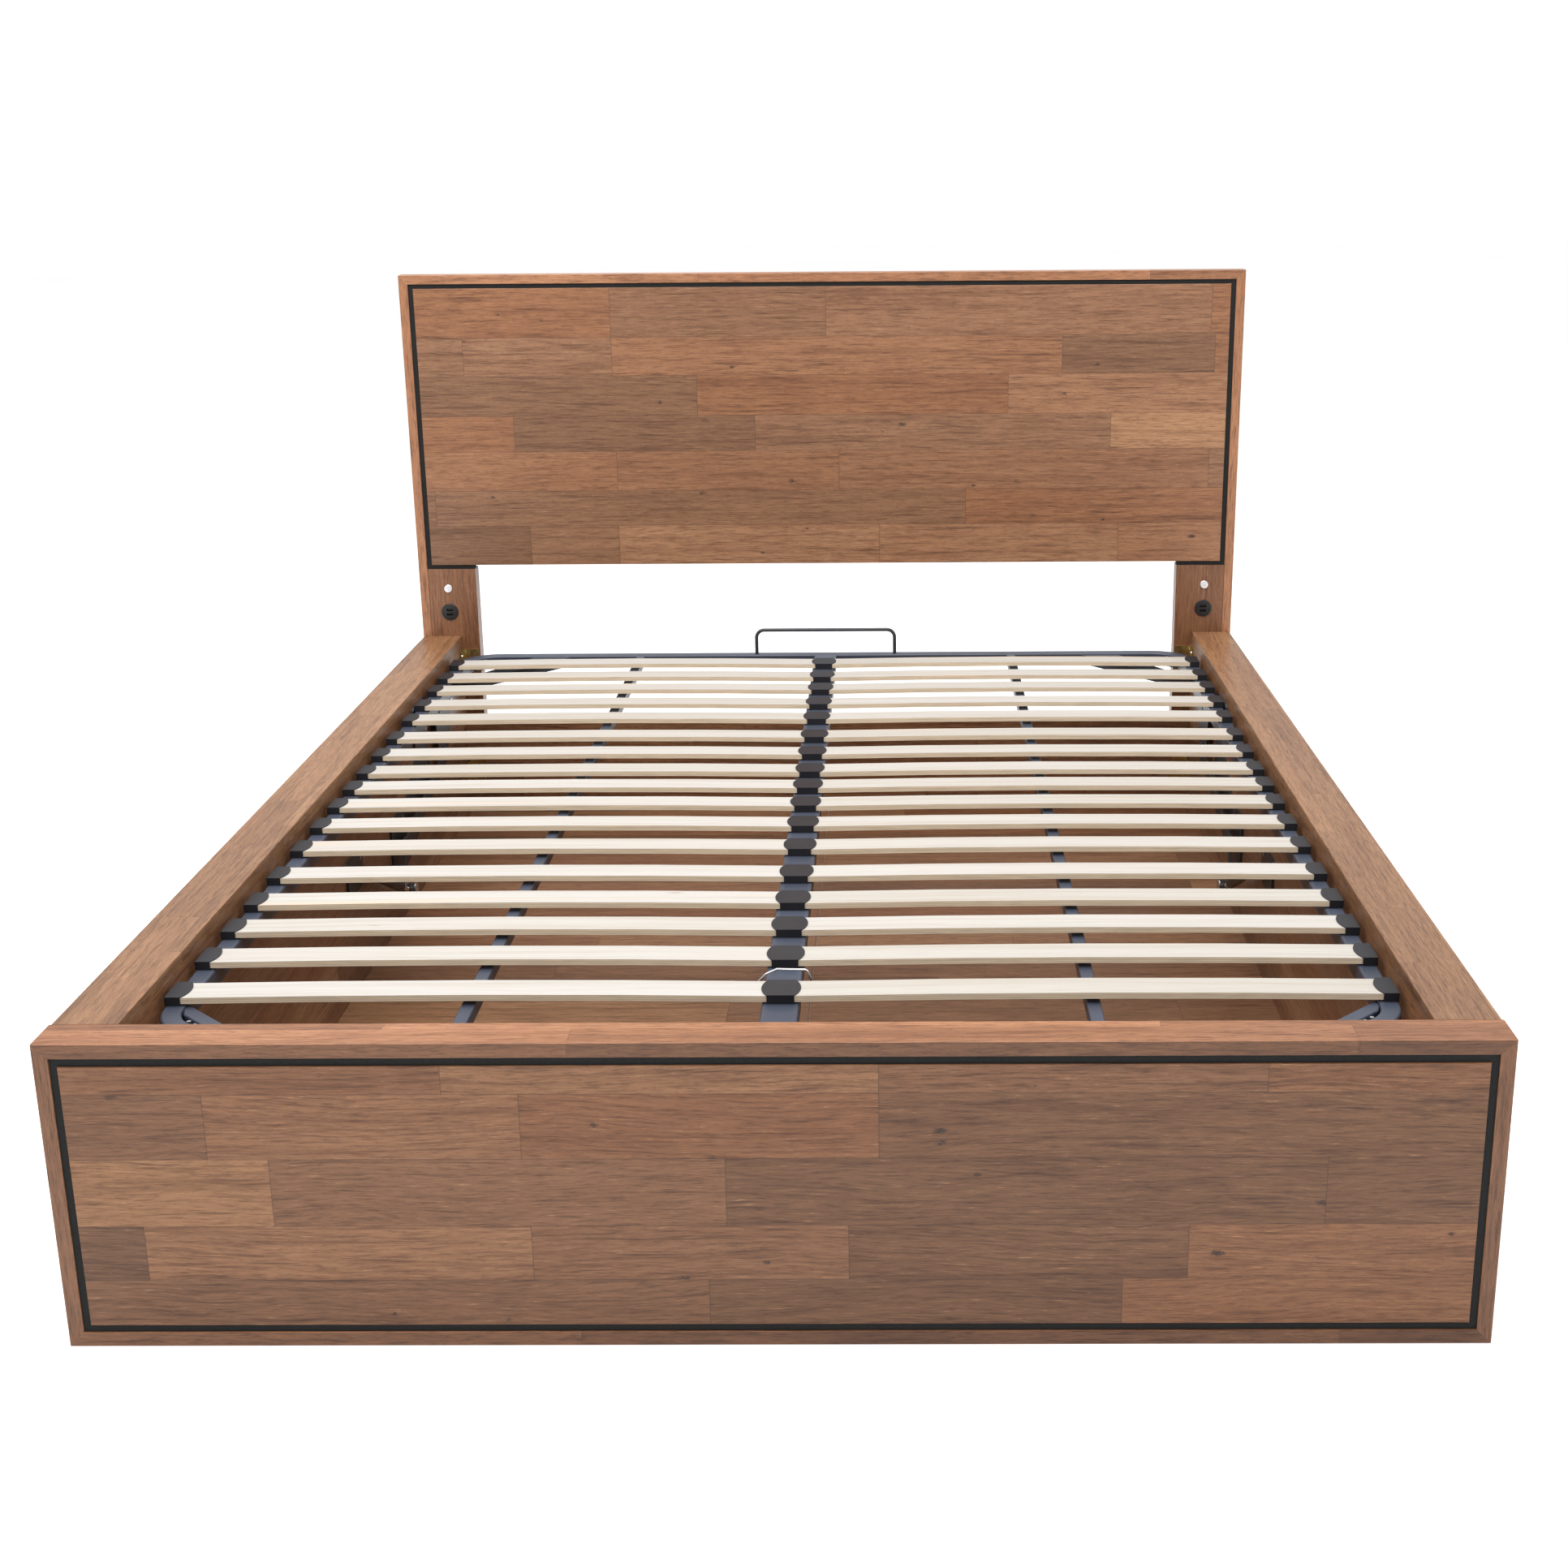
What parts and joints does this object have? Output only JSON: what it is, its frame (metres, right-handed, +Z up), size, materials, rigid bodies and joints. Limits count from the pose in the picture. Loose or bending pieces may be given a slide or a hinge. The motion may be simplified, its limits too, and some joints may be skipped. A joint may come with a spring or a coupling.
{
  "type": "gas lift storage bed",
  "caption": "Wooden queen-size bed frame with a slatted steel platform that lifts on folding arms and gas struts to open the storage space beneath.",
  "frame": {"origin": "centre of the bounding box at floor level", "axes": "+X to the right seen from the foot end, +Y from the footboard to the headboard, +Z up"},
  "size_m": [1.69, 2.145, 1.125],
  "materials": {
    "wood_panel": "satin lacquer over laminated staves",
    "wood_frame": "satin lacquer",
    "board_back": "raw board",
    "storage_board": "satin printed board",
    "black_line": "matte",
    "socket_black": "gloss",
    "bright_steel": "bright plated",
    "zinc_yellow": "yellow zinc plate",
    "frame_grey": "satin powder coat",
    "mech_dark": "satin powder coat",
    "slat_birch": "smooth, clear coated",
    "cap_dark": "fine matte"
  },
  "bodies": {
    "bed_base": {"footboard_back_panel": "board_back", "footboard_bottom_board": "wood_frame", "footboard_core_battens": "board_back", "footboard_end_left": "wood_frame", "footboard_end_right": "wood_frame", "footboard_panel": "wood_panel", "footboard_reveal": "black_line", "footboard_top_board": "wood_frame", "head_cross_board": "wood_frame", "headboard_back_panel": "board_back", "headboard_bolts": "bright_steel", "headboard_core_battens": "board_back", "headboard_leg_left": "wood_frame", "headboard_leg_right": "wood_frame", "headboard_panel": "wood_panel", "headboard_reveal": "black_line", "headboard_stile_left": "wood_frame", "headboard_stile_right": "wood_frame", "headboard_top_board": "wood_frame", "lift_base_pins": "bright_steel", "lift_base_plates": "mech_dark", "lift_base_screws": "bright_steel", "rail_bracket_screws": "bright_steel", "rail_brackets": "zinc_yellow", "side_rail_battens": "board_back", "side_rail_left_inner": "wood_frame", "side_rail_left_outer": "wood_frame", "side_rail_left_top": "wood_frame", "side_rail_right_inner": "wood_frame", "side_rail_right_outer": "wood_frame", "side_rail_right_top": "wood_frame", "storage_floor_left": "storage_board", "storage_floor_right": "storage_board", "strut_mount_brackets": "mech_dark", "usb_sockets": "socket_black"},
    "platform": {"platform_side_tubes": "frame_grey", "platform_end_tubes": "frame_grey", "platform_corner_bends": "frame_grey", "platform_centre_rail": "frame_grey", "platform_support_bars": "frame_grey", "corner_braces": "frame_grey", "head_braces": "mech_dark", "corner_brackets": "mech_dark", "corner_bracket_bolts": "bright_steel", "slats_left": "slat_birch", "slats_right": "slat_birch", "side_caps_left": "cap_dark", "side_caps_right": "cap_dark", "centre_caps": "cap_dark", "mattress_retainer": "mech_dark", "pull_loop": "bright_steel", "platform_lift_brackets": "mech_dark", "platform_bracket_pins": "bright_steel"},
    "rear_arms": {"rear_arms": "mech_dark"},
    "front_arms": {"front_arms": "mech_dark", "front_arm_pins": "bright_steel"},
    "strut_cylinders": {"gas_strut_cylinders": "mech_dark", "gas_strut_fixed_eyes": "mech_dark"},
    "strut_rods": {"gas_strut_rods": "bright_steel", "gas_strut_rod_eyes": "mech_dark"}
  },
  "joints": [
    {"name": "lift_fold", "type": "hinge", "parent": "bed_base", "child": "rear_arms", "pos_m": [0, 0.5875, 0.317], "axis": [1, 0, 0], "range_deg": [0, 75]},
    {"name": "platform_tilt", "type": "hinge", "parent": "rear_arms", "child": "platform", "pos_m": [0, 0.80749, 0.31892], "axis": [1, 0, 0], "range_deg": [-107.7, 0]},
    {"name": "front_arm_fold", "type": "hinge", "parent": "bed_base", "child": "front_arms", "pos_m": [0, 0.3485, 0.15], "axis": [1, 0, 0], "range_deg": [0, 53.33]},
    {"name": "strut_swing", "type": "hinge", "parent": "bed_base", "child": "strut_cylinders", "pos_m": [0, 0.0475, 0.205], "axis": [1, 0, 0], "range_deg": [0, 4.52]},
    {"name": "strut_extend", "type": "slide", "parent": "strut_cylinders", "child": "strut_rods", "axis": [0, 0.9049, -0.4256], "range_m": [0, 0.06357]}
  ],
  "couplings": [
    {"joint": "platform_tilt", "follows": "lift_fold", "ratio": -1.4347},
    {"joint": "front_arm_fold", "follows": "lift_fold", "ratio": 0.7097},
    {"joint": "strut_swing", "follows": "lift_fold", "ratio": 0.0589},
    {"joint": "strut_extend", "follows": "lift_fold", "m_per_rad": 0.04818}
  ]
}
